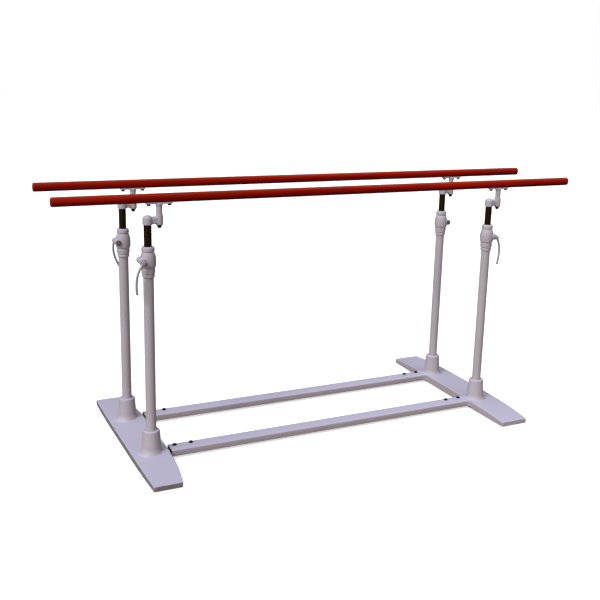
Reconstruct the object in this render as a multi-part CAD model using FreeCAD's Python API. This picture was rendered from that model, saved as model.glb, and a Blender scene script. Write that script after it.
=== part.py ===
import FreeCAD, Part
import math
import os

# Gymnastics parallel bars, drawn in millimetres.
# X runs along the bars, Y from the front bar to the rear bar, Z up from the floor.
# The origin is on the floor under the middle of the bars.
# "Outboard" is away from the middle along X. "Lever side" is away from the middle along Y.

# bars
BAR_LENGTH = 3500.0
BAR_DEEP = 54.0
BAR_WIDE = 44.0
BAR_AXIS_Z = 1565.0
BAR_END_ROUND = 9.0

# where the four posts stand
POST_SPACING_X = 2326.0
POST_SPACING_Y = 564.0
ARM_REACH = 68.0
POST_X = {"left": -ARM_REACH - POST_SPACING_X / 2, "right": -ARM_REACH + POST_SPACING_X / 2}
POST_Y = {"front": -POST_SPACING_Y / 2, "rear": POST_SPACING_Y / 2}
ENDS = ("left", "right")
SIDES = ("front", "rear")

# feet
PAD_THICK = 4.0
PAD_R = 24.0
PAD_INSET = 55.0
FOOT_HALF_LENGTH = 704.0
FOOT_OUTBOARD = {"left": 116.0, "right": 160.0}
FOOT_INBOARD = {"left": 99.0, "right": 77.0}
FOOT_STRAIGHT_HALF = 250.0
# how much each edge comes in at the tips
FOOT_OUTER_NARROWING = {"left": 9.0, "right": 34.0}
FOOT_INNER_NARROWING = {"left": 40.0, "right": 6.0}
FOOT_TIP_Z = 35.0
FOOT_OUTER_Z = 43.0
FOOT_INNER_Z = 58.0
FOOT_EDGE_ROUND = 5.0
FOOT_CORNER_ROUND = 9.0
FOOT_WALL = 12.0
RIB_THICK = 10.0
RIB_Y = 490.0
PAD_MARGIN = 2.0
# shares of the half length where the foot's section is drawn, and where its hollow ends
FOOT_STATIONS = [0.36, 0.6, 0.8]
HOLLOW_TIP = 0.96

# sockets that hold the posts
SOCKET_TOP_Z = 193.0
SOCKET_TOP_R = 50.0
SOCKET_BODY_R = 56.0
SOCKET_FLARE_R = 84.0
SOCKET_FLARE_TOP_Z = 94.0
SOCKET_FLARE_FOOT_Z = 42.0
SOCKET_FLARE_SAG = 7.0
SOCKET_LIP = 5.0
SOCKET_BOSS_R = 48.0

# rails between the feet
RAIL_WIDE = 100.0
RAIL_DEEP = 40.0
RAIL_WALL = 3.0
RAIL_BOTTOM_Z = 18.0
RAIL_CORNER_R = 5.0
RAIL_GAP = {"left": 15.0, "right": 0.0}
LUG_STUB = {"left": -3.0, "right": 30.0}
FLARE_BURIED = 4.0
TONGUE_LENGTH = 180.0
TONGUE_SLACK = 0.5
TONGUE_BURIED = 20.0
TONGUE_NECK_LENGTH = 16.0
TONGUE_NECK_INSET_Y = 18.0
TONGUE_NECK_INSET_Z = 7.0
RAIL_BOLT_FIRST = {"left": 36.0, "right": 20.0}
RAIL_BOLT_PITCH = 102.0
RAIL_BOLT_OFFSET_Y = 25.0
RAIL_BOLT_R = 6.0
RAIL_BOLT_HOLE_R = 6.5
RAIL_BOLT_HEAD_R = 10.5
RAIL_BOLT_HEAD_DEEP = 8.0
RAIL_BOLT_CROWN = 4.0
WASHER_R = 14.0
WASHER_THICK = 2.5
NUT_R = 10.5
NUT_DEEP = 8.0
BOLT_TAIL = 2.0

# posts
TUBE_R = 30.0
TUBE_WALL = 3.5
TUBE_FOOT_Z = 20.0
TUBE_TOP_Z = 1250.0
ROD_R = 22.0
ROD_BORE_R = 17.0
ROD_FOOT_Z = 670.0
ROD_TOP_Z = 1418.0
ROD_SOLID_TOP = 60.0
SPIGOT_R = 15.0
SPIGOT_LENGTH = 36.0
KEYWAY_WIDE = 8.0
KEYWAY_DEEP = 2.5
RUNNING_GAP = 0.05
BUSH_LENGTH = 70.0
GUIDE_LENGTH = 50.0
KEYWAY_FOOT_Z = ROD_FOOT_Z + GUIDE_LENGTH + 20.0
KEYWAY_TOP_Z = ROD_TOP_Z - 12.0

# height clamps
CLAMP_FOOT_Z = 1116.0
CLAMP_HIGH = 178.0
CLAMP_TOP_Z = CLAMP_FOOT_Z + CLAMP_HIGH
CLAMP_THROAT_R = 22.8
# radius and height above the foot of the clamp
CLAMP_PROFILE = [
    (33.0, 0.0), (36.0, 3.0), (36.0, 15.0), (33.8, 17.5), (33.8, 21.5), (38.5, 24.0),
    (39.5, 49.0), (37.5, 52.0), (37.5, 56.0), (43.0, 61.0), (45.0, 75.0), (45.5, 91.0),
    (45.0, 109.0), (42.0, 128.0), (38.0, 141.0), (34.5, 144.0), (34.5, 149.0), (37.5, 152.0),
    (37.5, 167.0), (35.5, 174.0), (31.0, CLAMP_HIGH),
]
CLAMP_SCREW_Z = CLAMP_FOOT_Z + 97.0
CLAMP_SCREW_OUT = 38.5
EAR_R = 20.0
EAR_LEVER_SIDE = 44.0
EAR_NUT_SIDE = 40.0
EAR_ROUND = 4.0
SLIT_WIDE = 4.0
SLIT_OFFSET = 9.0
SLIT_FOOT_Z = CLAMP_FOOT_Z + 62.0
SCREW_R = 6.0
SCREW_HOLE_R = 6.4
SCREW_HEAD_R = 8.5
SCREW_HEAD_DEEP = 4.0
SCREW_TAIL = 3.0
CLAMP_NUT_R = 14.0
CLAMP_NUT_DEEP = 12.0

# clamp levers
HUB_R = 12.5
HUB_LENGTH = 26.0
HUB_GAP = 0.5
HUB_ROUND = 2.0
HANDLE_ALONG_HUB = 15.0
HANDLE_R = 7.0
HANDLE_PATH = [(0.0, 0.0), (13.0, 26.0), (22.0, 62.0), (21.0, 118.0), (7.0, 178.0)]
HANDLE_KNOB_R = 8.5
LEVER_TILT = {
    ("left", "front"): 12.0,
    ("right", "front"): 4.0,
    ("left", "rear"): -12.0,
    ("right", "rear"): -6.0,
}

# swing arms
ARM_FOOT_Z = ROD_TOP_Z + 0.3
ARM_HUB_R = 28.0
ARM_HUB_HIGH = 52.0
ARM_HUB_ROUND = 22.0
ARM_WEB_WIDE = 34.0
ARM_WEB_FOOT = 2.0
ARM_WEB_HIGH = 42.0
ARM_WEB_ROUND = 11.0
BARREL_R = 21.5
BARREL_ROUND = 3.0
BARREL_FOOT_Z = ROD_TOP_Z - 3.0
BARREL_TOP_Z = ROD_TOP_Z + 53.0
PIN_R = 14.0

# saddles
NECK_R = 17.5
NECK_TOP_R = 24.0
NECK_FLARE = 14.0
PLATE_FOOT_Z = BAR_AXIS_Z - BAR_DEEP / 2 - 6.0
PLATE_LIP_Z = PLATE_FOOT_Z + 9.5
PLATE_LENGTH = 152.0
PLATE_WIDE = 28.0
PLATE_ROUND = 10.0
SCREW_PITCH_HALF = 60.0
BAR_SCREW_R = 4.0
BAR_SCREW_HEAD_R = 11.0
BAR_SCREW_HEAD_DEEP = 11.0
BAR_SCREW_HEAD_ROUND = 5.0
BAR_SCREW_TIP_Z = BAR_AXIS_Z + 6.0
PIVOT_FLANGE_R = 18.0
PIVOT_FLANGE_DEEP = 3.0
PIVOT_HEAD_R = 13.5
PIVOT_TIP_Z = BARREL_FOOT_Z - 21.0
PIVOT_SHANK_R = 6.0
PIVOT_SHANK_LENGTH = 30.0
PIVOT_BORE_BELOW = 5.0
PIVOT_GAP = 0.3

# longer than any cut needs
FAR = 200.0
UP = FreeCAD.Vector(0, 0, 1)
ALONG = FreeCAD.Vector(1, 0, 0)
ACROSS = FreeCAD.Vector(0, 1, 0)


def point(x, y, z):
    return FreeCAD.Vector(x, y, z)


def box(x0, x1, y0, y1, z0, z1):
    return Part.makeBox(x1 - x0, y1 - y0, z1 - z0, point(x0, y0, z0))


def rod_up(radius, z0, z1, x=0.0, y=0.0):
    return Part.makeCylinder(radius, z1 - z0, point(x, y, z0), UP)


def rod_across(radius, y0, y1, x, z):
    return Part.makeCylinder(radius, y1 - y0, point(x, y0, z), ACROSS)


def fuse(pieces):
    return pieces[0].multiFuse(pieces[1:]).removeSplitter()


def turned(profile):
    """Turn a list of (radius, z) points about the Z axis into a solid."""
    points = [point(0, 0, profile[0][1])]
    points += [point(r, 0, z) for r, z in profile]
    points += [point(0, 0, profile[-1][1]), points[0]]
    face = Part.Face(Part.makePolygon(points))
    return face.revolve(point(0, 0, 0), UP, 360)


def hexagon_up(radius, z0, z1, x, y):
    corners = []
    for step in range(7):
        angle = math.radians(60 * step)
        corners.append(point(x + radius * math.cos(angle), y + radius * math.sin(angle), z0))
    return Part.Face(Part.makePolygon(corners)).extrude(point(0, 0, z1 - z0))


def outboard(end):
    return -1.0 if end == "left" else 1.0


def at_post(shape, end, side):
    """Place a piece drawn outboard = +X and lever side = +Y onto one of the four posts."""
    placed = shape
    if end == "left":
        placed = placed.mirror(point(0, 0, 0), ALONG)
    if side == "front":
        placed = placed.mirror(point(0, 0, 0), ACROSS)
    return placed.translated(point(POST_X[end], POST_Y[side], 0))


# ---- base ----

def foot_section(end, y, inset, drop, floor_z):
    """One four-sided section of a foot, looking along Y, outboard side first."""
    beyond = max(0.0, abs(y) - FOOT_STRAIGHT_HALF)
    reach = FOOT_HALF_LENGTH - FOOT_STRAIGHT_HALF
    curve = (beyond / reach) ** 2
    rise = 1.0 - (abs(y) / FOOT_HALF_LENGTH) ** 3
    outer = FOOT_OUTBOARD[end] - inset - FOOT_OUTER_NARROWING[end] * curve
    inner = FOOT_INBOARD[end] - inset - FOOT_INNER_NARROWING[end] * curve
    outer_z = FOOT_TIP_Z + (FOOT_OUTER_Z - FOOT_TIP_Z) * rise - drop
    inner_z = FOOT_TIP_Z + (FOOT_INNER_Z - FOOT_TIP_Z) * rise - drop
    way = outboard(end)
    x_outer = POST_X[end] + way * outer
    x_inner = POST_X[end] - way * inner
    corners = [(x_outer, floor_z), (x_outer, outer_z), (x_inner, inner_z), (x_inner, floor_z)]
    points = [point(x, y, z) for x, z in corners]
    return Part.makePolygon(points + [points[0]])


def foot_loft(end, tip, inset, drop, floor_z):
    """Solid through sections of a foot, from one tip share of its half length to the other."""
    stations = [-tip] + [-s for s in reversed(FOOT_STATIONS)] + [0.0] + FOOT_STATIONS + [tip]
    sections = [foot_section(end, s * FOOT_HALF_LENGTH, inset, drop, floor_z) for s in stations]
    return Part.makeLoft(sections, True, False)


def foot_plate(end):
    plate = foot_loft(end, 1.0, 0.0, 0.0, PAD_THICK)
    corners = []
    for edge in plate.Edges:
        extent = edge.BoundBox
        if extent.XLength < 1 and extent.YLength < 1:
            corners.append(edge)
    plate = plate.makeFillet(FOOT_CORNER_ROUND, corners)
    rims = []
    for edge in plate.Edges:
        extent = edge.BoundBox
        if extent.ZMin > PAD_THICK + 1 and extent.XLength + extent.YLength > FOOT_CORNER_ROUND:
            rims.append(edge)
    return plate.makeFillet(FOOT_EDGE_ROUND, rims)


def foot_hollow(end):
    """The open underside of a foot, with ribs and socket bosses left standing."""
    hollow = foot_loft(end, HOLLOW_TIP, FOOT_WALL, FOOT_WALL, PAD_THICK - 1)
    x = POST_X[end]
    keep = []
    for side in SIDES:
        keep.append(rod_up(SOCKET_BOSS_R, 0, SOCKET_TOP_Z, x, POST_Y[side]))
    for y in (-RIB_Y, POST_Y["front"], 0.0, POST_Y["rear"], RIB_Y):
        keep.append(box(x - FAR, x + FAR, y - RIB_THICK / 2, y + RIB_THICK / 2, 0, FAR))
    for x_pad, y_pad in pad_places(end):
        keep.append(rod_up(PAD_R + PAD_MARGIN, 0, FAR, x_pad, y_pad))
    return hollow.cut(fuse(keep))


def pad_places(end):
    """Two pads in the middle of each foot and one near each tip."""
    x_middle = POST_X[end] + outboard(end) * (FOOT_OUTBOARD[end] - FOOT_INBOARD[end]) / 2
    places = []
    for way in (-1, 1):
        places.append((x_middle, way * (FOOT_HALF_LENGTH - PAD_INSET)))
        places.append((x_middle + way * PAD_INSET, 0.0))
    return places


def socket_solid(x, y):
    """Tapered socket with a chamfered lip and a wide flare where it grows out of the foot."""
    upper = point(SOCKET_BODY_R, 0, SOCKET_FLARE_TOP_Z)
    lower = point(SOCKET_FLARE_R, 0, SOCKET_FLARE_FOOT_Z)
    middle = (upper + lower) / 2 - point(SOCKET_FLARE_SAG, 0, SOCKET_FLARE_SAG)
    side = Part.Arc(upper, middle, lower).toShape()
    buried_z = SOCKET_FLARE_FOOT_Z - FOOT_WALL
    body = [
        lower,
        point(SOCKET_FLARE_R, 0, buried_z),
        point(0, 0, buried_z),
        point(0, 0, SOCKET_TOP_Z),
        point(SOCKET_TOP_R - SOCKET_LIP, 0, SOCKET_TOP_Z),
        point(SOCKET_TOP_R, 0, SOCKET_TOP_Z - SOCKET_LIP),
        upper,
    ]
    wire = Part.Wire([side] + Part.makePolygon(body).Edges)
    solid = Part.Face(wire).revolve(point(0, 0, 0), UP, 360)
    return solid.translated(point(x, y, 0))


def lug_end_x(end):
    way = outboard(end)
    return POST_X[end] - way * (FOOT_INBOARD[end] + LUG_STUB[end])


def lug(end, y):
    """Block level with the rail, and the tongue that plugs into the rail."""
    way = outboard(end)
    x_end = lug_end_x(end)
    x0, x1 = sorted((POST_X[end], x_end))
    half = RAIL_WIDE / 2
    top = RAIL_BOTTOM_Z + RAIL_DEEP
    pieces = [box(x0, x1, y - half, y + half, RAIL_BOTTOM_Z, top)]
    x_root = x_end + way * TONGUE_BURIED
    x_tip = x_end - way * TONGUE_LENGTH
    wide = half - RAIL_WALL - TONGUE_SLACK
    z0 = RAIL_BOTTOM_Z + RAIL_WALL + TONGUE_SLACK
    z1 = top - RAIL_WALL - TONGUE_SLACK
    if RAIL_GAP[end] > 0:
        # a thinner neck where the tongue can be seen between the rail and the foot
        x_neck = x_end - way * TONGUE_NECK_LENGTH
        narrow = wide - TONGUE_NECK_INSET_Y
        low, high = z0 + TONGUE_NECK_INSET_Z, z1 - TONGUE_NECK_INSET_Z
        n0, n1 = sorted((x_root, x_neck - way))
        pieces.append(box(n0, n1, y - narrow, y + narrow, low, high))
        x_root = x_neck
    t0, t1 = sorted((x_root, x_tip))
    pieces.append(box(t0, t1, y - wide, y + wide, z0, z1))
    if LUG_STUB[end] > 0:
        x_foot = POST_X[end] - way * FOOT_INBOARD[end]
        for turn in (-1, 1):
            pieces.append(lug_flare(x_foot, y + turn * half, way, turn, LUG_STUB[end]))
    return fuse(pieces)


def lug_flare(x_foot, y_edge, way, turn, r):
    """Concave corner of radius r between the stub and the long side of the foot."""
    x0, x1 = sorted((x_foot + way * FLARE_BURIED, x_foot - way * r))
    y0, y1 = sorted((y_edge - turn * FLARE_BURIED, y_edge + turn * r))
    block = box(x0, x1, y0, y1, RAIL_BOTTOM_Z, RAIL_BOTTOM_Z + RAIL_DEEP)
    scoop = rod_up(r, 0, FAR, x_foot - way * r, y_edge + turn * r)
    return block.cut(scoop)


def foot(end):
    pieces = [foot_plate(end)]
    for side in SIDES:
        pieces.append(socket_solid(POST_X[end], POST_Y[side]))
        pieces.append(lug(end, POST_Y[side]))
    body = fuse(pieces)
    cutters = [foot_hollow(end)]
    for side in SIDES:
        cutters.append(rod_up(TUBE_R, TUBE_FOOT_Z, SOCKET_TOP_Z + 1, POST_X[end], POST_Y[side]))
        for x in rail_bolt_xs(end):
            cutters.append(rod_up(RAIL_BOLT_HOLE_R, 0, FAR, x, rail_bolt_y(side)))
    for cutter in cutters:
        body = body.cut(cutter)
    return body


def rail_end_x(end):
    return lug_end_x(end) - outboard(end) * RAIL_GAP[end]


def rail_bolt_xs(end):
    way = outboard(end)
    first = rail_end_x(end) - way * RAIL_BOLT_FIRST[end]
    return [first, first - way * RAIL_BOLT_PITCH]


def rail_bolt_y(side):
    return POST_Y[side] + RAIL_BOLT_OFFSET_Y


def all_bolt_places():
    places = []
    for end in ENDS:
        for side in SIDES:
            for x in rail_bolt_xs(end):
                places.append((x, rail_bolt_y(side)))
    return places


def rail(side):
    x0 = rail_end_x("left")
    x1 = rail_end_x("right")
    y = POST_Y[side]
    half = RAIL_WIDE / 2
    top = RAIL_BOTTOM_Z + RAIL_DEEP
    outside = box(x0, x1, y - half, y + half, RAIL_BOTTOM_Z, top)
    long_edges = [edge for edge in outside.Edges if edge.BoundBox.XLength > 100]
    outside = outside.makeFillet(RAIL_CORNER_R, long_edges)
    w = RAIL_WALL
    inside = box(x0 - 1, x1 + 1, y - half + w, y + half - w, RAIL_BOTTOM_Z + w, top - w)
    shell = outside.cut(inside)
    for end in ENDS:
        for x in rail_bolt_xs(end):
            shell = shell.cut(rod_up(RAIL_BOLT_HOLE_R, 0, FAR, x, rail_bolt_y(side)))
    return shell


def rail_bolt(x, y):
    seat = RAIL_BOTTOM_Z + RAIL_DEEP + WASHER_THICK
    head = rod_up(RAIL_BOLT_HEAD_R, seat, seat + RAIL_BOLT_HEAD_DEEP, x, y)
    crown = [edge for edge in head.Edges if edge.BoundBox.ZMin > seat + 1]
    head = head.makeFillet(RAIL_BOLT_CROWN, crown)
    tail = RAIL_BOTTOM_Z - WASHER_THICK - NUT_DEEP - BOLT_TAIL
    return head.fuse(rod_up(RAIL_BOLT_R, tail, seat + 1, x, y)).removeSplitter()


def ring(outer, inner, z0, z1, x, y):
    return rod_up(outer, z0, z1, x, y).cut(rod_up(inner, z0 - 1, z1 + 1, x, y))


def rail_washers(x, y):
    top = RAIL_BOTTOM_Z + RAIL_DEEP
    upper = ring(WASHER_R, RAIL_BOLT_HOLE_R, top, top + WASHER_THICK, x, y)
    lower = ring(WASHER_R, RAIL_BOLT_HOLE_R, RAIL_BOTTOM_Z - WASHER_THICK, RAIL_BOTTOM_Z, x, y)
    return [upper, lower]


def rail_nut(x, y):
    z1 = RAIL_BOTTOM_Z - WASHER_THICK
    z0 = z1 - NUT_DEEP
    return hexagon_up(NUT_R, z0, z1, x, y).cut(rod_up(RAIL_BOLT_R, z0 - 1, z1 + 1, x, y))


# ---- posts and clamps ----

def outer_tube():
    tube = rod_up(TUBE_R, TUBE_FOOT_Z, TUBE_TOP_Z)
    return tube.cut(rod_up(TUBE_R - TUBE_WALL, TUBE_FOOT_Z - 1, TUBE_TOP_Z + 1))


def guide_bush():
    """Fixed sleeve in the mouth of the outer tube. The rod slides through it."""
    z0 = TUBE_TOP_Z - BUSH_LENGTH
    sleeve = rod_up(TUBE_R - TUBE_WALL, z0, TUBE_TOP_Z)
    return sleeve.cut(rod_up(ROD_R + RUNNING_GAP, z0 - 1, TUBE_TOP_Z + 1))


def rod_guide():
    """Ring on the foot of the rod. It slides inside the outer tube."""
    z1 = ROD_FOOT_Z + GUIDE_LENGTH
    sleeve = rod_up(TUBE_R - TUBE_WALL - RUNNING_GAP, ROD_FOOT_Z, z1)
    return sleeve.cut(rod_up(ROD_R, ROD_FOOT_Z - 1, z1 + 1))


def inner_rod():
    body = rod_up(ROD_R, ROD_FOOT_Z, ROD_TOP_Z)
    body = body.cut(rod_up(ROD_BORE_R, ROD_FOOT_Z - 1, ROD_TOP_Z - ROD_SOLID_TOP))
    half = KEYWAY_WIDE / 2
    body = body.cut(box(ROD_R - KEYWAY_DEEP, ROD_R + 5, -half, half, KEYWAY_FOOT_Z, KEYWAY_TOP_Z))
    spigot = rod_up(SPIGOT_R, ROD_TOP_Z - 5, ROD_TOP_Z + SPIGOT_LENGTH)
    return body.fuse(spigot).removeSplitter()


def clamp_collar():
    """Split collar on top of the outer tube, with two ears drawn together by a screw."""
    body = turned([(radius, CLAMP_FOOT_Z + height) for radius, height in CLAMP_PROFILE])
    boss = rod_across(EAR_R, -EAR_NUT_SIDE, EAR_LEVER_SIDE, CLAMP_SCREW_OUT, CLAMP_SCREW_Z)
    rims = [edge for edge in boss.Edges if edge.BoundBox.YLength < 1]
    boss = boss.makeFillet(EAR_ROUND, rims)
    body = fuse([body, boss])
    body = body.cut(rod_up(TUBE_R, CLAMP_FOOT_Z - 1, TUBE_TOP_Z))
    body = body.cut(rod_up(CLAMP_THROAT_R, TUBE_TOP_Z - 1, CLAMP_TOP_Z + 1))
    slit = box(5, FAR, SLIT_OFFSET - SLIT_WIDE / 2, SLIT_OFFSET + SLIT_WIDE / 2, SLIT_FOOT_Z, CLAMP_TOP_Z + 1)
    body = body.cut(slit)
    return body.cut(rod_across(SCREW_HOLE_R, -FAR, FAR, CLAMP_SCREW_OUT, CLAMP_SCREW_Z))


def clamp_nut():
    nut = hexagon_up(CLAMP_NUT_R, 0, CLAMP_NUT_DEEP, 0, 0)
    nut = nut.cut(rod_up(SCREW_R + RUNNING_GAP, -1, CLAMP_NUT_DEEP + 1))
    nut.rotate(point(0, 0, 0), ALONG, 90)
    return nut.translated(point(CLAMP_SCREW_OUT, -EAR_NUT_SIDE, CLAMP_SCREW_Z))


def clamp_screw():
    tail = -EAR_NUT_SIDE - CLAMP_NUT_DEEP - SCREW_TAIL
    hub_end = EAR_LEVER_SIDE + HUB_GAP + HUB_LENGTH
    shank = rod_across(SCREW_R, tail, hub_end + 1, CLAMP_SCREW_OUT, CLAMP_SCREW_Z)
    head = rod_across(SCREW_HEAD_R, hub_end, hub_end + SCREW_HEAD_DEEP, CLAMP_SCREW_OUT, CLAMP_SCREW_Z)
    return shank.fuse(head).removeSplitter()


def lever(tilt):
    """Bent round handle on a hub, hanging below the clamp screw and tilted outboard by tilt degrees."""
    y0 = EAR_LEVER_SIDE + HUB_GAP
    y_mid = y0 + HANDLE_ALONG_HUB
    hub = rod_across(HUB_R, y0, y0 + HUB_LENGTH, CLAMP_SCREW_OUT, CLAMP_SCREW_Z)
    rims = [edge for edge in hub.Edges if edge.BoundBox.YLength < 1]
    hub = hub.makeFillet(HUB_ROUND, rims)
    path_points = []
    for out, down in HANDLE_PATH:
        path_points.append(point(CLAMP_SCREW_OUT + out, y_mid, CLAMP_SCREW_Z - down))
    curve = Part.BSplineCurve()
    curve.interpolate(path_points)
    path = Part.Wire(curve.toShape())
    start = path_points[0]
    heading = curve.tangent(curve.FirstParameter)[0]
    section = Part.Wire(Part.makeCircle(HANDLE_R, start, heading))
    handle = path.makePipeShell([section], True, True)
    knob = Part.makeSphere(HANDLE_KNOB_R, path_points[-1])
    body = fuse([hub, handle, knob])
    body = body.cut(rod_across(SCREW_R, y0 - 1, y0 + HUB_LENGTH + 1, CLAMP_SCREW_OUT, CLAMP_SCREW_Z))
    body.rotate(point(CLAMP_SCREW_OUT, 0, CLAMP_SCREW_Z), ACROSS, -tilt)
    return body


# ---- swing arms, saddles and bars ----

def arm(x, y):
    """Casting that swings on top of the rod. Its far end carries the saddle pin."""
    hub = rod_up(ARM_HUB_R, ARM_FOOT_Z, ARM_FOOT_Z + ARM_HUB_HIGH)
    crown = [edge for edge in hub.Edges if edge.BoundBox.ZMin > ARM_FOOT_Z + 5 and edge.BoundBox.ZLength < 1]
    hub = hub.makeFillet(ARM_HUB_ROUND, crown)
    half = ARM_WEB_WIDE / 2
    z0 = ARM_FOOT_Z + ARM_WEB_FOOT
    web = box(0, ARM_REACH, -half, half, z0, z0 + ARM_WEB_HIGH)
    edges = [edge for edge in web.Edges if edge.BoundBox.XLength > 10]
    web = web.makeFillet(ARM_WEB_ROUND, edges)
    barrel = rod_up(BARREL_R, BARREL_FOOT_Z, BARREL_TOP_Z, ARM_REACH)
    rims = [edge for edge in barrel.Edges if edge.BoundBox.ZLength < 1]
    barrel = barrel.makeFillet(BARREL_ROUND, rims)
    body = fuse([hub, web, barrel])
    body = body.cut(rod_up(SPIGOT_R + RUNNING_GAP, ARM_FOOT_Z - 1, ROD_TOP_Z + SPIGOT_LENGTH + 1))
    body = body.cut(rod_up(PIN_R + RUNNING_GAP, BARREL_FOOT_Z - 1, BARREL_TOP_Z + 1, ARM_REACH))
    return body.translated(point(x, y, 0))


def saddle(x, y, bar):
    """Cradle under the bar with a neck and a pin that drops into the arm."""
    seat = BARREL_TOP_Z + PIVOT_GAP
    neck = [
        (NECK_R, seat), (NECK_R, PLATE_FOOT_Z - NECK_FLARE), (NECK_R + 2, PLATE_FOOT_Z - NECK_FLARE / 2),
        (NECK_TOP_R - 3, PLATE_FOOT_Z), (NECK_TOP_R - 3, PLATE_FOOT_Z + 3),
    ]
    stem = turned(neck)
    pin = rod_up(PIN_R, BARREL_FOOT_Z - PIVOT_GAP, seat + 1)
    half = PLATE_LENGTH / 2
    plate = box(-half, half, -PLATE_WIDE / 2, PLATE_WIDE / 2, PLATE_FOOT_Z, PLATE_LIP_Z)
    corners = [edge for edge in plate.Edges if edge.BoundBox.ZLength > 5]
    plate = plate.makeFillet(PLATE_ROUND, corners)
    body = fuse([pin, stem, plate]).translated(point(x, y, 0))
    body = body.cut(bar)
    bore_top = BARREL_FOOT_Z - PIVOT_GAP + PIVOT_SHANK_LENGTH
    body = body.cut(rod_up(PIVOT_SHANK_R, BARREL_FOOT_Z - PIVOT_BORE_BELOW, bore_top, x, y))
    for shift in (-SCREW_PITCH_HALF, SCREW_PITCH_HALF):
        body = body.cut(rod_up(BAR_SCREW_R, PLATE_FOOT_Z - 1, PLATE_LIP_Z + 1, x + shift, y))
    return body


def pivot_bolt(x, y):
    """Round-nosed bolt that keeps the saddle pin in the arm."""
    top = BARREL_FOOT_Z - PIVOT_GAP
    under = top - PIVOT_FLANGE_DEEP
    mid_z = (under + PIVOT_TIP_Z) / 2
    profile = [
        (3.0, PIVOT_TIP_Z), (7.5, PIVOT_TIP_Z + 1.5), (10.5, PIVOT_TIP_Z + 4.5), (PIVOT_HEAD_R - 1, mid_z),
        (PIVOT_HEAD_R, under), (PIVOT_FLANGE_R, under), (PIVOT_FLANGE_R, top), (PIVOT_SHANK_R, top),
        (PIVOT_SHANK_R, top + PIVOT_SHANK_LENGTH - 1),
    ]
    return turned(profile).translated(point(x, y, 0))


def saddle_places(side):
    return [(POST_X[end] + ARM_REACH, POST_Y[side]) for end in ENDS]


def bar_screw_places(side):
    places = []
    for x, y in saddle_places(side):
        places.append((x - SCREW_PITCH_HALF, y))
        places.append((x + SCREW_PITCH_HALF, y))
    return places


def bar_screw(x, y):
    z0 = PLATE_FOOT_Z - BAR_SCREW_HEAD_DEEP
    head = rod_up(BAR_SCREW_HEAD_R, z0, PLATE_FOOT_Z, x, y)
    crown = [edge for edge in head.Edges if edge.BoundBox.ZMax < z0 + 1]
    head = head.makeFillet(BAR_SCREW_HEAD_ROUND, crown)
    return head.fuse(rod_up(BAR_SCREW_R, z0 + 1, BAR_SCREW_TIP_Z, x, y)).removeSplitter()


def bar_blank(side):
    """Oval bar with rounded ends, before the screw holes."""
    centre = point(-BAR_LENGTH / 2, POST_Y[side], BAR_AXIS_Z)
    top = centre + point(0, 0, BAR_DEEP / 2)
    flank = centre + point(0, BAR_WIDE / 2, 0)
    oval = Part.Wire(Part.Ellipse(top, flank, centre).toShape())
    solid = Part.Face(oval).extrude(point(BAR_LENGTH, 0, 0))
    ends = [edge for edge in solid.Edges if edge.BoundBox.XLength < 1]
    return solid.makeFillet(BAR_END_ROUND, ends)


def drilled_bar(side, blank):
    for x, y in bar_screw_places(side):
        blank = blank.cut(rod_up(BAR_SCREW_R, BAR_AXIS_Z - BAR_DEEP, BAR_SCREW_TIP_Z, x, y))
    return blank


def save(name, pieces):
    os.makedirs("parts", exist_ok=True)
    shape = pieces[0] if len(pieces) == 1 else Part.makeCompound(pieces)
    for solid in shape.Solids:
        if not solid.isValid() or not solid.isClosed():
            print("BAD SOLID in", name)
    shape.exportStep("parts/" + name + ".step")
    print(name, len(shape.Solids), round(shape.Volume / 1000), "cm3")


def build_base():
    for end in ENDS:
        save("foot_" + end, [foot(end)])
    for side in SIDES:
        save("rail_" + side, [rail(side)])
    bolts = [rail_bolt(x, y) for x, y in all_bolt_places()]
    save("rail_bolts", bolts)
    washers = []
    for x, y in all_bolt_places():
        washers += rail_washers(x, y)
    save("rail_washers", washers)
    save("rail_nuts", [rail_nut(x, y) for x, y in all_bolt_places()])
    pads = []
    for end in ENDS:
        pads += [rod_up(PAD_R, 0, PAD_THICK, x, y) for x, y in pad_places(end)]
    save("floor_pads", pads)


def build_posts():
    posts = [(end, side) for end in ENDS for side in SIDES]
    save("guide_bushes", [at_post(guide_bush(), end, side) for end, side in posts])
    save("clamp_nuts", [at_post(clamp_nut(), end, side) for end, side in posts])
    for end, side in posts:
        where = "_" + end + "_" + side
        save("outer_tube" + where, [at_post(outer_tube(), end, side)])
        save("clamp_collar" + where, [at_post(clamp_collar(), end, side)])
        save("clamp_screw" + where, [at_post(clamp_screw(), end, side)])
        save("clamp_lever" + where, [at_post(lever(LEVER_TILT[(end, side)]), end, side)])
        save("inner_rod" + where, [at_post(inner_rod(), end, side)])
        save("rod_guide" + where, [at_post(rod_guide(), end, side)])
        save("swing_arm" + where, [arm(POST_X[end], POST_Y[side])])


def build_bars():
    for side in SIDES:
        blank = bar_blank(side)
        for end in ENDS:
            x = POST_X[end] + ARM_REACH
            save("saddle_" + end + "_" + side, [saddle(x, POST_Y[side], blank)])
            save("pivot_bolt_" + end + "_" + side, [pivot_bolt(x, POST_Y[side])])
        save("bar_screws_" + side, [bar_screw(x, y) for x, y in bar_screw_places(side)])
        save("bar_" + side, [drilled_bar(side, blank)])


build_base()
build_posts()
build_bars()
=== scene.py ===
import math

import bpy
from mathutils import Matrix, Vector


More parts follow.
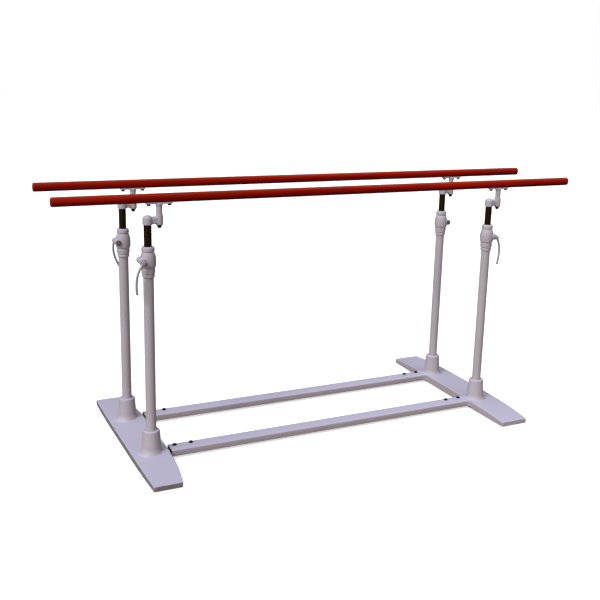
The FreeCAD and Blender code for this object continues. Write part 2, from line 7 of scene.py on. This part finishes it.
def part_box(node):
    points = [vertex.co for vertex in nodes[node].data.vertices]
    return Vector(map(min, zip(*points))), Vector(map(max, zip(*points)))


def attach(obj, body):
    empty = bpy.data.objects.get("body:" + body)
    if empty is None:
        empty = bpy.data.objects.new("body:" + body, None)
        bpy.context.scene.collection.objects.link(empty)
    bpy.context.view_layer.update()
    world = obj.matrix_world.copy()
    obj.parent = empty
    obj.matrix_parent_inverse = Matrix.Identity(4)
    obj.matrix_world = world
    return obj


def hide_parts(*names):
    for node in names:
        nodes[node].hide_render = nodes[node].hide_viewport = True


# Looks for the parallel bars. Blender works in metres: X along the bars, Y to the rear bar, Z up.
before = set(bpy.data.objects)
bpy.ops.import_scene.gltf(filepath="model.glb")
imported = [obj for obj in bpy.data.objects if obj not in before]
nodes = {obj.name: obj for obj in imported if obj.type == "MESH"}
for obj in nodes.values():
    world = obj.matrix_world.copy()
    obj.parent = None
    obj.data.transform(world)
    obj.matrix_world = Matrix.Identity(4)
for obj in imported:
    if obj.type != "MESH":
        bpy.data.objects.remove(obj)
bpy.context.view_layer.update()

ENDS = ("left", "right")
SIDES = ("front", "rear")
MM = 0.001

# rails between the feet
RAIL_CORNER_R = 6 * MM
RAIL_WALL = 3 * MM
RAIL_EDGE = 0.8 * MM
RAIL_CORNER_STEPS = 6
# share of the wall that comes off the corner radius on the inside
RAIL_INNER_CORNER = 0.6
# length of tongue between the left foot and the rails, painted black as the gap's painted shade
TONGUE_SHOWN = 13.5 * MM

# post tubes, and the guide sleeves in their mouths
ROUND_STEPS = 72
TUBE_WALL = 3.5 * MM
TUBE_EDGE = 0.6 * MM
# extra rings this far from a tube's ends keep its long faces apart from its edges
TUBE_END_RING = 200 * MM
SLEEVE_ROOM = 0.3 * MM
SLEEVE_EDGE = 0.5 * MM

# bars
BAR_STEPS = 96
BAR_END_ROUND = 9 * MM
BAR_END_STEPS = 8
BAR_SPANS = 24

# soft edges of castings: remesh size in mm, rounds of smoothing, share of faces kept
FOOT_CASTING = (1.6, 2, 0.12)
COLLAR_CASTING = (1.0, 2, 0.2)
LEVER_CASTING = (0.9, 2, 0.4)
ARM_CASTING = (0.9, 3, 0.25)
SADDLE_CASTING = (0.9, 2, 0.25)

# broken edges of the parts that keep their CAD mesh, in mm
CLAMP_SCREW_EDGE = 0.7
ROD_EDGE = 0.4
GUIDE_EDGE = 0.5
PIVOT_BOLT_EDGE = 0.8
BAR_SCREW_EDGE = 0.8
FASTENER_EDGE = 0.5
PAD_EDGE = 1.5
EDGE_ROUNDING = 2
WELD_DISTANCE = 0.01
# angles in degrees above which an edge is broken, or shaded as sharp
BROKEN_ABOVE = 30
SHARP_ABOVE = 35

# colours. A ramp is a list of (share, colour)
PAINT = (0.43, 0.395, 0.395)
# painted light: the paler, bluer colour given to upward faces of the paint
LIT_TOP_PAINT = (0.485, 0.475, 0.56)
# painted shade: grey-brown colour for upright faces near the floor
LOW_WALL_SHADE = (0.12, 0.1, 0.095)
# painted shade: black for the tongue in the gap between the left foot and the rails
GAP_SHADE_BLACK = (0.012, 0.01, 0.012)
SPECKLE = [(0.35, (0.93, 0.93, 0.93)), (0.65, (1.0, 1.0, 1.0))]
ROD_BLACK = (0.0045, 0.0022, 0.0003)
# the rods' blacking has a brown film of oil
OIL_SHEEN = (1.0, 0.55, 0.15)
FASTENER_BLACK = (0.008, 0.007, 0.009)
NUT_GREY = (0.05, 0.045, 0.052)
LEVER_ZINC = [(0.3, (0.26, 0.25, 0.255)), (0.7, (0.42, 0.41, 0.42))]
WOOD_GRAIN = [
    (0.25, (0.13, 0.001, 0.0003)), (0.45, (0.24, 0.002, 0.0005)),
    (0.6, (0.33, 0.004, 0.0008)), (0.8, (0.44, 0.01, 0.001)),
]
WOOD_TONES = [(0.3, (0.8, 0.75, 0.75)), (0.7, (1.0, 1.0, 1.0))]
# painted highlight for the bars' tops, and painted shade for their undersides
LIT_TOP_WOOD = (0.3, 0.042, 0.006)
SHADED_WOOD = (0.02, 0.0005, 0.0002)
WOOD_PORE = (0.035, 0.003, 0.001)
LACQUER_SHEEN = (1.0, 0.2, 0.03)
NYLON_SHADES = [(0.3, (0.5, 0.48, 0.42)), (0.7, (0.62, 0.6, 0.54))]
RUBBER_SHADES = [(0.4, (0.018, 0.018, 0.019)), (0.8, (0.06, 0.058, 0.055))]

# the studio: where the light comes from, and its colours from the far side to that side
LIGHT_FROM = (-0.5, -0.3, 0.8)
WORLD_SHADES = [
    (0.0, (0.05, 0.032, 0.025)), (0.35, (0.12, 0.085, 0.075)), (0.55, (0.3, 0.24, 0.23)),
    (0.75, (0.6, 0.55, 0.56)), (0.9, (0.8, 0.86, 1.15)), (1.0, (0.8, 0.88, 1.25)),
]
KEY_FROM = (-0.75, -0.42, 0.72)
KEY_STRENGTH = 2.0
KEY_SOFTNESS = 20.0
KEY_COLOUR = (1.0, 0.95, 0.92)
FILL_PLACE = Vector((1.6, -0.8, 5.0))
FILL_TARGET = Vector((1.15, 0.0, 0.0))
FILL_STRENGTH = 150.0
FILL_SPREAD = 48.0
FILL_RADIUS = 0.4
FLOOR_RADIUS = 40.0
FLOOR_SHADE = 0.8
FLOOR_GLOW = 0.62

# the camera, with its angles in degrees and its lens and sensor in mm
CAMERA_PLACE = (-2.5810, -5.2123, 2.3726)
CAMERA_TURN = 27.60
CAMERA_DIP = 14.14
CAMERA_TILT = -1.98
CAMERA_LENS = 54.73
CAMERA_SENSOR = 36.0
CAMERA_SHIFT_X = -0.0683
CAMERA_SHIFT_Y = -0.0263

# post axes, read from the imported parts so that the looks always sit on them
POSTS = {}
for end in ENDS:
    for side in SIDES:
        low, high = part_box(f"inner_rod_{end}_{side}")
        POSTS[end, side] = ((low + high) / 2).xy


# ---- meshes ----

def new_piece(name, verts, faces, look, body, replaced):
    """Make a smooth-shaded mesh that moves with a body and stands for a CAD node."""
    mesh = bpy.data.meshes.new(name)
    mesh.from_pydata([tuple(v) for v in verts], [], faces)
    mesh.validate()
    mesh.shade_smooth()
    mesh.set_sharp_from_angle(angle=math.radians(SHARP_ABOVE))
    piece = bpy.data.objects.new(name, mesh)
    bpy.context.scene.collection.objects.link(piece)
    mesh.materials.append(look)
    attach(piece, body)
    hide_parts(replaced)


def skin(rings, closed_ends=True):
    """Join rings of equally many points into a tube, with flat ends if asked."""
    verts, faces = [], []
    count = len(rings[0])
    for ring in rings:
        verts += ring
    for row in range(len(rings) - 1):
        for step in range(count):
            after = (step + 1) % count
            a, b = row * count + step, row * count + after
            faces.append([a, b, b + count, a + count])
    if closed_ends:
        faces.append(list(range(count))[::-1])
        faces.append(list(range(len(verts) - count, len(verts))))
    return verts, faces


def lathe(outline, centre):
    """Turn a closed outline of (radius, z) points about a vertical axis through centre."""
    rings = []
    for radius, z in outline + outline[:1]:
        ring = []
        for step in range(ROUND_STEPS):
            angle = 2 * math.pi * step / ROUND_STEPS
            ring.append(Vector((centre[0] + radius * math.cos(angle),
                                centre[1] + radius * math.sin(angle), z)))
        rings.append(ring)
    return skin(rings, closed_ends=False)


def dress(piece, look):
    piece.data.materials.clear()
    piece.data.materials.append(look)


def soften_casting(node, casting, look):
    """Give a CAD casting the soft edges and blended corners of a real one."""
    voxel, rounds, keep = casting
    piece = nodes[node]
    grid = piece.modifiers.new("cast_skin", "REMESH")
    grid.mode = "VOXEL"
    grid.voxel_size = voxel * MM
    grid.use_smooth_shade = True
    relax = piece.modifiers.new("cast_edges", "SMOOTH")
    relax.factor = 0.5
    relax.iterations = rounds
    thin = piece.modifiers.new("lighter_mesh", "DECIMATE")
    thin.ratio = keep
    dress(piece, look)


def bevelled(node, width, look):
    """Keep a CAD node, weld its vertices and break its sharp edges."""
    piece = nodes[node]
    piece.data.shade_smooth()
    weld = piece.modifiers.new("weld", "WELD")
    weld.merge_threshold = WELD_DISTANCE * MM
    edge = piece.modifiers.new("broken_edges", "BEVEL")
    edge.width = width * MM
    edge.segments = EDGE_ROUNDING
    edge.limit_method = "ANGLE"
    edge.angle_limit = math.radians(BROKEN_ABOVE)
    edge.harden_normals = True
    dress(piece, look)


# ---- material nodes ----

def blank(name):
    """A new material, with its node tree, its shader and the object's own coordinates."""
    look = bpy.data.materials.new(name)
    look.use_nodes = True
    tree = look.node_tree
    shader = tree.nodes["Principled BSDF"]
    place = tree.nodes.new("ShaderNodeTexCoord").outputs["Object"]
    return look, tree, shader, place


def shade(colour, factor):
    return tuple(channel * factor for channel in colour)


def stretched(tree, place, scale):
    mapping = tree.nodes.new("ShaderNodeMapping")
    mapping.inputs["Scale"].default_value = scale
    tree.links.new(place, mapping.inputs["Vector"])
    return mapping.outputs["Vector"]


def noise(tree, place, scale, detail=3.0, rough=0.5, twist=0.0):
    node = tree.nodes.new("ShaderNodeTexNoise")
    node.inputs["Scale"].default_value = scale
    node.inputs["Detail"].default_value = detail
    node.inputs["Roughness"].default_value = rough
    node.inputs["Distortion"].default_value = twist
    tree.links.new(place, node.inputs["Vector"])
    return node.outputs["Fac"]


def ramp(tree, value, stops):
    """Turn a value into a colour, by a list of (share, colour) stops."""
    node = tree.nodes.new("ShaderNodeValToRGB")
    points = node.color_ramp.elements
    while len(points) < len(stops):
        points.new(0.5)
    for point, (where, colour) in zip(points, stops):
        point.position = where
        point.color = (*colour, 1.0)
    tree.links.new(value, node.inputs["Fac"])
    return node.outputs["Color"]


def spread(tree, value, low, high, from_low=0.0, from_high=1.0):
    """Map a value from one range to another, held at the ends."""
    node = tree.nodes.new("ShaderNodeMapRange")
    node.inputs["From Min"].default_value = from_low
    node.inputs["From Max"].default_value = from_high
    node.inputs["To Min"].default_value = low
    node.inputs["To Max"].default_value = high
    tree.links.new(value, node.inputs["Value"])
    return node.outputs["Result"]


def blended(tree, share, first, second, kind="MIX"):
    """Mix two colours. Each input is a number, a colour or another node's output."""
    node = tree.nodes.new("ShaderNodeMix")
    node.data_type = "RGBA"
    node.blend_type = kind
    for socket, value in ((node.inputs[0], share), (node.inputs[6], first), (node.inputs[7], second)):
        if isinstance(value, (int, float)):
            socket.default_value = value
        elif isinstance(value, tuple):
            socket.default_value = (*value, 1.0)
        else:
            tree.links.new(value, socket)
    return node.outputs[2]


def product(tree, first, second):
    node = tree.nodes.new("ShaderNodeMath")
    node.operation = "MULTIPLY"
    tree.links.new(first, node.inputs[0])
    tree.links.new(second, node.inputs[1])
    return node.outputs[0]


def part_of(tree, vector, axis):
    """One of a vector's three parts."""
    node = tree.nodes.new("ShaderNodeSeparateXYZ")
    tree.links.new(vector, node.inputs["Vector"])
    return node.outputs[axis]


def facing_up(tree):
    """The surface normal's upward part, from -1 to 1."""
    return part_of(tree, tree.nodes.new("ShaderNodeNewGeometry").outputs["Normal"], "Z")


def bumpy(tree, shader, heights):
    """Chain several (height, strength, depth in mm) bumps into the shader's normal."""
    last = None
    for height, strength, depth in heights:
        node = tree.nodes.new("ShaderNodeBump")
        node.inputs["Strength"].default_value = strength
        node.inputs["Distance"].default_value = depth * MM
        tree.links.new(height, node.inputs["Height"])
        if last is not None:
            tree.links.new(last, node.inputs["Normal"])
        last = node.outputs["Normal"]
    tree.links.new(last, shader.inputs["Normal"])


# ---- materials ----

def low_wall_shade(tree, place, most):
    """Share of painted shade, grey-brown and in patches, on upright faces close to the floor."""
    low_down = spread(tree, part_of(tree, place, "Z"), 1.0, 0.0, 0.035, 0.06)
    upright = spread(tree, facing_up(tree), 1.0, 0.0, 0.3, 0.75)
    patches = spread(tree, noise(tree, place, 18.0, 4.0), most * 0.6, most, 0.3, 0.7)
    return product(tree, product(tree, low_down, upright), patches)


def frame_paint(name, cast, low_shade_share, gap_shade_from=None):
    """Pale powder coat with orange peel. Cast parts get a coarser skin under the paint.

    Upward faces are painted paler and bluer, as painted light from above. The third argument is the share
    of painted shade, grey-brown and in patches, on the walls near the floor. Past the x given as the last
    argument the casting is painted black, as painted shade in the gap between the left foot and the rails.
    """
    look, tree, shader, place = blank(name)
    clouds = ramp(tree, noise(tree, place, 5.0, 4.0), [(0.3, shade(PAINT, 0.96)), (0.7, shade(PAINT, 1.04))])
    # painted light: upward faces are made paler and bluer
    clouds = blended(tree, spread(tree, facing_up(tree), 0.0, 1.0, 0.5, 0.95), clouds, LIT_TOP_PAINT)
    speckle = ramp(tree, noise(tree, place, 900.0, 2.0), SPECKLE)
    colour = blended(tree, 1.0, clouds, speckle, "MULTIPLY")
    scuffs = noise(tree, stretched(tree, place, (40.0, 40.0, 260.0)), 1.0, 5.0, 0.65, 0.6)
    marks = spread(tree, scuffs, 0.0, 0.3, 0.68, 0.8)
    colour = blended(tree, marks, colour, shade(PAINT, 0.62))
    # painted shade darkens upright faces near the floor
    colour = blended(tree, low_wall_shade(tree, place, low_shade_share), colour, LOW_WALL_SHADE)
    # painted shade: past the given x the tongue in the gap is painted black
    if gap_shade_from is not None:
        gap_shade = spread(tree, part_of(tree, place, "X"), 0.0, 1.0, gap_shade_from - MM, gap_shade_from + MM)
        colour = blended(tree, gap_shade, colour, GAP_SHADE_BLACK)
    tree.links.new(colour, shader.inputs["Base Color"])
    gloss = spread(tree, noise(tree, place, 30.0, 4.0), 0.4, 0.55)
    tree.links.new(gloss, shader.inputs["Roughness"])
    shader.inputs["Specular IOR Level"].default_value = 0.35
    heights = [(noise(tree, place, 420.0, 1.0), 0.25, 0.12)]
    if cast:
        heights.append((noise(tree, place, 110.0, 3.0), 0.35, 0.35))
    bumpy(tree, shader, heights)
    return look


def black_steel(name, base, roughness, metal, line_scale, sheen=(1.0, 1.0, 1.0)):
    """Blackened steel. line_scale stretches the fine marks along one axis, sheen tints the gloss."""
    look, tree, shader, place = blank(name)
    lines = noise(tree, stretched(tree, place, line_scale), 1.0, 4.0, 0.6)
    colour = ramp(tree, lines, [(0.3, base), (0.75, tuple(channel * 2.0 + 0.001 for channel in base))])
    tree.links.new(colour, shader.inputs["Base Color"])
    shader.inputs["Metallic"].default_value = metal
    shader.inputs["Specular IOR Level"].default_value = 0.12
    shader.inputs["Specular Tint"].default_value = (*sheen, 1.0)
    smear = noise(tree, place, 14.0, 5.0)
    tree.links.new(spread(tree, smear, roughness - 0.08, roughness + 0.12), shader.inputs["Roughness"])
    bumpy(tree, shader, [(lines, 0.15, 0.05)])
    return look


def lever_steel():
    """Zinc-plated steel with fine marks along the handle."""
    look, tree, shader, place = blank("lever_steel")
    lines = noise(tree, stretched(tree, place, (900.0, 900.0, 40.0)), 1.0, 4.0, 0.6)
    tree.links.new(ramp(tree, lines, LEVER_ZINC), shader.inputs["Base Color"])
    shader.inputs["Metallic"].default_value = 0.35
    tree.links.new(spread(tree, noise(tree, place, 60.0, 4.0), 0.3, 0.48), shader.inputs["Roughness"])
    bumpy(tree, shader, [(lines, 0.2, 0.06)])
    return look


def bar_wood():
    """Straight-grained wood under a red-brown stain and lacquer, with a painted highlight paler on top and
    painted shade darker underneath.
    """
    look, tree, shader, place = blank("bar_wood")
    drift = noise(tree, stretched(tree, place, (0.6, 6.0, 6.0)), 1.0, 2.0, 0.5, 0.4)
    figure = noise(tree, stretched(tree, place, (1.6, 70.0, 70.0)), 1.0, 5.0, 0.6, 0.8)
    pores = noise(tree, stretched(tree, place, (16.0, 900.0, 900.0)), 1.0, 2.0, 0.5)
    grain = ramp(tree, figure, WOOD_GRAIN)
    colour = blended(tree, 1.0, grain, ramp(tree, drift, WOOD_TONES), "MULTIPLY")
    upward = facing_up(tree)
    # painted highlight on upward faces, painted shade on downward faces
    colour = blended(tree, spread(tree, upward, 0.0, 0.75, 0.45, 1.0), colour, LIT_TOP_WOOD)
    colour = blended(tree, spread(tree, upward, 0.75, 0.0, -0.85, 0.0), colour, SHADED_WOOD)
    colour = blended(tree, spread(tree, pores, 0.0, 0.6, 0.62, 0.78), colour, WOOD_PORE)
    tree.links.new(colour, shader.inputs["Base Color"])
    shader.inputs["Roughness"].default_value = 0.3
    shader.inputs["Specular IOR Level"].default_value = 0.5
    shader.inputs["Specular Tint"].default_value = (*LACQUER_SHEEN, 1.0)
    shader.inputs["Coat Weight"].default_value = 0.03
    shader.inputs["Coat IOR"].default_value = 1.4
    haze = noise(tree, stretched(tree, place, (8.0, 40.0, 40.0)), 1.0, 4.0)
    tree.links.new(spread(tree, haze, 0.12, 0.24), shader.inputs["Coat Roughness"])
    bumpy(tree, shader, [(figure, 0.12, 0.1)])
    return look


def guide_nylon():
    """Natural nylon with faint turning marks."""
    look, tree, shader, place = blank("guide_nylon")
    rings = noise(tree, stretched(tree, place, (30.0, 30.0, 1200.0)), 1.0, 3.0)
    tree.links.new(ramp(tree, rings, NYLON_SHADES), shader.inputs["Base Color"])
    shader.inputs["Roughness"].default_value = 0.55
    shader.inputs["Subsurface Weight"].default_value = 0.1
    bumpy(tree, shader, [(rings, 0.3, 0.08)])
    return look


def pad_rubber():
    """Gritty black rubber, dusty in patches."""
    look, tree, shader, place = blank("pad_rubber")
    grit = noise(tree, place, 700.0, 3.0)
    dust = noise(tree, place, 25.0, 4.0)
    tree.links.new(ramp(tree, dust, RUBBER_SHADES), shader.inputs["Base Color"])
    tree.links.new(spread(tree, grit, 0.7, 0.92), shader.inputs["Roughness"])
    bumpy(tree, shader, [(grit, 0.5, 0.2)])
    return look


# the third number is the share of painted shade low on the walls
CAST = frame_paint("cast_paint", True, 0.12)
TUBE = frame_paint("tube_paint", False, 0.15)
RAIL_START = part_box("rail_front")[0].x
# the left foot gets heavy painted shade low on its walls, and black painted shade on the tongue at the rails
LEFT_CAST = frame_paint("left_cast_paint", True, 0.85, RAIL_START - TONGUE_SHOWN)
ROD = black_steel("rod_black", ROD_BLACK, 0.5, 0.0, (1600.0, 1600.0, 9.0), OIL_SHEEN)
FASTENER = black_steel("black_fasteners", FASTENER_BLACK, 0.4, 0.3, (500.0, 500.0, 500.0))
DARK_NUT = black_steel("dark_nuts", NUT_GREY, 0.42, 0.3, (500.0, 500.0, 500.0))
LEVER = lever_steel()
WOOD = bar_wood()
NYLON = guide_nylon()
RUBBER = pad_rubber()


# ---- base ----

def build_feet():
    soften_casting("foot_left", FOOT_CASTING, LEFT_CAST)
    soften_casting("foot_right", FOOT_CASTING, CAST)


def rail_lip(x, inward):
    """(x, inset) stations round one open end of a rail, from inside the bore to the outer face."""
    return [
        (x + inward * 4 * RAIL_WALL, RAIL_WALL), (x + inward * RAIL_EDGE, RAIL_WALL),
        (x, RAIL_WALL - RAIL_EDGE), (x, RAIL_EDGE), (x + inward * RAIL_EDGE, 0.0),
    ]


def rounded_ring(x, low, high, inset):
    """A rectangle with rounded corners across a rail, inset from the rail's faces."""
    radius = RAIL_CORNER_R - inset * RAIL_INNER_CORNER
    ring = []
    y0, y1 = low.y + inset, high.y - inset
    z0, z1 = low.z + inset, high.z - inset
    corners = ((y1 - radius, z1 - radius, 0), (y0 + radius, z1 - radius, 1),
               (y0 + radius, z0 + radius, 2), (y1 - radius, z0 + radius, 3))
    for y, z, quarter in corners:
        for step in range(RAIL_CORNER_STEPS + 1):
            angle = math.pi / 2 * (quarter + step / RAIL_CORNER_STEPS)
            ring.append(Vector((x, y + radius * math.cos(angle), z + radius * math.sin(angle))))
    return ring


def build_rails():
    """Hollow rectangular tubes with rounded corners."""
    for side in SIDES:
        low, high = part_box(f"rail_{side}")
        stations = rail_lip(low.x, 1) + rail_lip(high.x, -1)[::-1]
        rings = [rounded_ring(x, low, high, inset) for x, inset in stations]
        verts, faces = skin(rings, closed_ends=False)
        new_piece(f"rail_tube_{side}", verts, faces, TUBE, "base", f"rail_{side}")


# ---- posts and bars ----

def half_width(node):
    low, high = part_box(node)
    return (high.x - low.x) / 2


def build_tube(where, centre):
    """Outer tube of a post, with its mouth's edges broken."""
    node = f"outer_tube_{where}"
    low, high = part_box(node)
    outer = half_width(node)
    inner = outer - TUBE_WALL
    verts, faces = lathe([
        (outer, low.z), (outer, low.z + TUBE_END_RING), (outer, high.z - TUBE_END_RING),
        (outer, high.z - TUBE_EDGE), (outer - TUBE_EDGE, high.z), (inner + TUBE_EDGE, high.z),
        (inner, high.z - TUBE_EDGE), (inner, low.z),
    ], centre)
    new_piece(f"post_tube_{where}", verts, faces, TUBE, "base", node)


def build_posts():
    for (end, side), centre in POSTS.items():
        where = f"{end}_{side}"
        build_tube(where, centre)
        soften_casting(f"clamp_collar_{where}", COLLAR_CASTING, CAST)
        bevelled(f"clamp_screw_{where}", CLAMP_SCREW_EDGE, LEVER)
        soften_casting(f"clamp_lever_{where}", LEVER_CASTING, LEVER)
        bevelled(f"inner_rod_{where}", ROD_EDGE, ROD)
        bevelled(f"rod_guide_{where}", GUIDE_EDGE, NYLON)
        soften_casting(f"swing_arm_{where}", ARM_CASTING, CAST)
        soften_casting(f"saddle_{where}", SADDLE_CASTING, CAST)
        bevelled(f"pivot_bolt_{where}", PIVOT_BOLT_EDGE, FASTENER)


def bar_stations(low_x, high_x):
    """(x, inset) along a bar, from the left tip to the right tip."""
    left = []
    for step in range(BAR_END_STEPS, -1, -1):
        angle = math.pi / 2 * step / BAR_END_STEPS
        left.append((low_x + BAR_END_ROUND * (1 - math.sin(angle)), BAR_END_ROUND * (1 - math.cos(angle))))
    right = [(low_x + high_x - x, inset) for x, inset in reversed(left)]
    start = left[-1][0]
    span = right[0][0] - start
    middle = [(start + span * step / BAR_SPANS, 0.0) for step in range(1, BAR_SPANS)]
    return left + middle + right


def build_bars():
    """Oval bars with rounded ends."""
    for side in SIDES:
        low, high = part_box(f"bar_{side}")
        centre = (low + high) / 2
        half_y, half_z = (high.y - low.y) / 2, (high.z - low.z) / 2
        rings = []
        for x, inset in bar_stations(low.x, high.x):
            ring = []
            for step in range(BAR_STEPS):
                angle = 2 * math.pi * step / BAR_STEPS
                ring.append(Vector((x, centre.y + (half_y - inset) * math.cos(angle),
                                    centre.z + (half_z - inset) * math.sin(angle))))
            rings.append(ring)
        verts, faces = skin(rings)
        new_piece(f"bar_oval_{side}", verts, faces, WOOD, f"bar_{side}_set", f"bar_{side}")
        bevelled(f"bar_screws_{side}", BAR_SCREW_EDGE, FASTENER)


def build_sleeves():
    """Guide sleeves in the mouths of the posts, with room round the rods for both meshes' facets."""
    low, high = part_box("guide_bushes")
    verts, faces = [], []
    for (end, side), centre in POSTS.items():
        bore = half_width(f"inner_rod_{end}_{side}") + SLEEVE_ROOM
        outer = half_width(f"outer_tube_{end}_{side}") - TUBE_WALL
        sleeve_verts, sleeve_faces = lathe([
            (outer, low.z), (outer, high.z), (bore + SLEEVE_EDGE, high.z), (bore, high.z - SLEEVE_EDGE),
            (bore, low.z + SLEEVE_EDGE), (bore + SLEEVE_EDGE, low.z),
        ], centre)
        faces += [[len(verts) + index for index in face] for face in sleeve_faces]
        verts += sleeve_verts
    new_piece("guide_sleeves", verts, faces, NYLON, "base", "guide_bushes")


def build_fasteners():
    for node in ("rail_bolts", "rail_washers", "rail_nuts"):
        bevelled(node, FASTENER_EDGE, FASTENER)
    bevelled("clamp_nuts", FASTENER_EDGE, DARK_NUT)
    bevelled("floor_pads", PAD_EDGE, RUBBER)


# ---- floor, light and camera ----

def placed(name, data):
    """Put a lamp or camera in the scene."""
    holder = bpy.data.objects.new(name, data)
    bpy.context.scene.collection.objects.link(holder)
    return holder


def build_floor():
    """White floor that glows a little and isn't seen in reflections."""
    bpy.ops.mesh.primitive_circle_add(vertices=96, radius=FLOOR_RADIUS, fill_type="NGON", location=(0, 0, 0))
    floor = bpy.context.object
    floor.name = "studio_floor"
    floor.visible_diffuse = False
    floor.visible_glossy = False
    look = bpy.data.materials.new("studio_floor")
    look.use_nodes = True
    shader = look.node_tree.nodes["Principled BSDF"]
    shader.inputs["Base Color"].default_value = (FLOOR_SHADE, FLOOR_SHADE, FLOOR_SHADE, 1.0)
    shader.inputs["Roughness"].default_value = 0.9
    shader.inputs["Specular IOR Level"].default_value = 0.0
    shader.inputs["Emission Color"].default_value = (1.0, 1.0, 1.0, 1.0)
    shader.inputs["Emission Strength"].default_value = FLOOR_GLOW
    floor.data.materials.append(look)


def build_world():
    """White to the camera. Its light on the set is strongest from the upper left."""
    world = bpy.data.worlds.new("studio")
    world.use_nodes = True
    tree = world.node_tree
    lit = tree.nodes["Background"]
    toward = tree.nodes.new("ShaderNodeVectorMath")
    toward.operation = "DOT_PRODUCT"
    toward.inputs[1].default_value = Vector(LIGHT_FROM).normalized()
    tree.links.new(tree.nodes.new("ShaderNodeTexCoord").outputs["Generated"], toward.inputs[0])
    share = spread(tree, toward.outputs["Value"], 0.0, 1.0, -1.0, 1.0)
    tree.links.new(ramp(tree, share, WORLD_SHADES), lit.inputs["Color"])
    backdrop = tree.nodes.new("ShaderNodeBackground")
    backdrop.inputs["Color"].default_value = (1.0, 1.0, 1.0, 1.0)
    seen = tree.nodes.new("ShaderNodeMixShader")
    tree.links.new(tree.nodes.new("ShaderNodeLightPath").outputs["Is Camera Ray"], seen.inputs[0])
    tree.links.new(lit.outputs[0], seen.inputs[1])
    tree.links.new(backdrop.outputs[0], seen.inputs[2])
    tree.links.new(seen.outputs[0], tree.nodes["World Output"].inputs["Surface"])
    bpy.context.scene.world = world


def build_key():
    """A wide, soft key light with no falloff along the bars."""
    lamp = bpy.data.lights.new("key", "SUN")
    lamp.energy = KEY_STRENGTH
    lamp.angle = math.radians(KEY_SOFTNESS)
    lamp.color = KEY_COLOUR
    placed("key", lamp).rotation_euler = Vector(KEY_FROM).to_track_quat("Z", "Y").to_euler()


def build_fill():
    """A weak wide spot over the right foot, which the photograph shows a little brighter."""
    lamp = bpy.data.lights.new("fill", "SPOT")
    lamp.energy = FILL_STRENGTH
    lamp.spot_size = math.radians(FILL_SPREAD)
    lamp.spot_blend = 1.0
    lamp.shadow_soft_size = FILL_RADIUS
    holder = placed("fill", lamp)
    holder.location = FILL_PLACE
    holder.rotation_euler = (FILL_TARGET - FILL_PLACE).to_track_quat("-Z", "Y").to_euler()


def build_camera():
    """The photograph's viewing angle, from a perspective fit of the posts, bars, rails and feet."""
    turn, dip, tilt = math.radians(CAMERA_TURN), math.radians(CAMERA_DIP), math.radians(CAMERA_TILT)
    forward = Vector((math.sin(turn) * math.cos(dip), math.cos(turn) * math.cos(dip), -math.sin(dip)))
    level = Vector((math.cos(turn), -math.sin(turn), 0.0))
    down = forward.cross(level)
    right = level * math.cos(tilt) + down * math.sin(tilt)
    up = level * math.sin(tilt) - down * math.cos(tilt)
    lens = bpy.data.cameras.new("photo_view")
    lens.sensor_width = CAMERA_SENSOR
    lens.lens = CAMERA_LENS
    lens.shift_x = CAMERA_SHIFT_X
    lens.shift_y = CAMERA_SHIFT_Y
    camera = placed("photo_view", lens)
    turned = Matrix((right, up, -forward)).transposed().to_4x4()
    camera.matrix_world = Matrix.Translation(CAMERA_PLACE) @ turned
    bpy.context.scene.camera = camera


build_feet()
build_rails()
build_posts()
build_bars()
build_sleeves()
build_fasteners()
build_floor()
build_world()
build_key()
build_fill()
build_camera()
bpy.context.scene.view_settings.view_transform = "Standard"
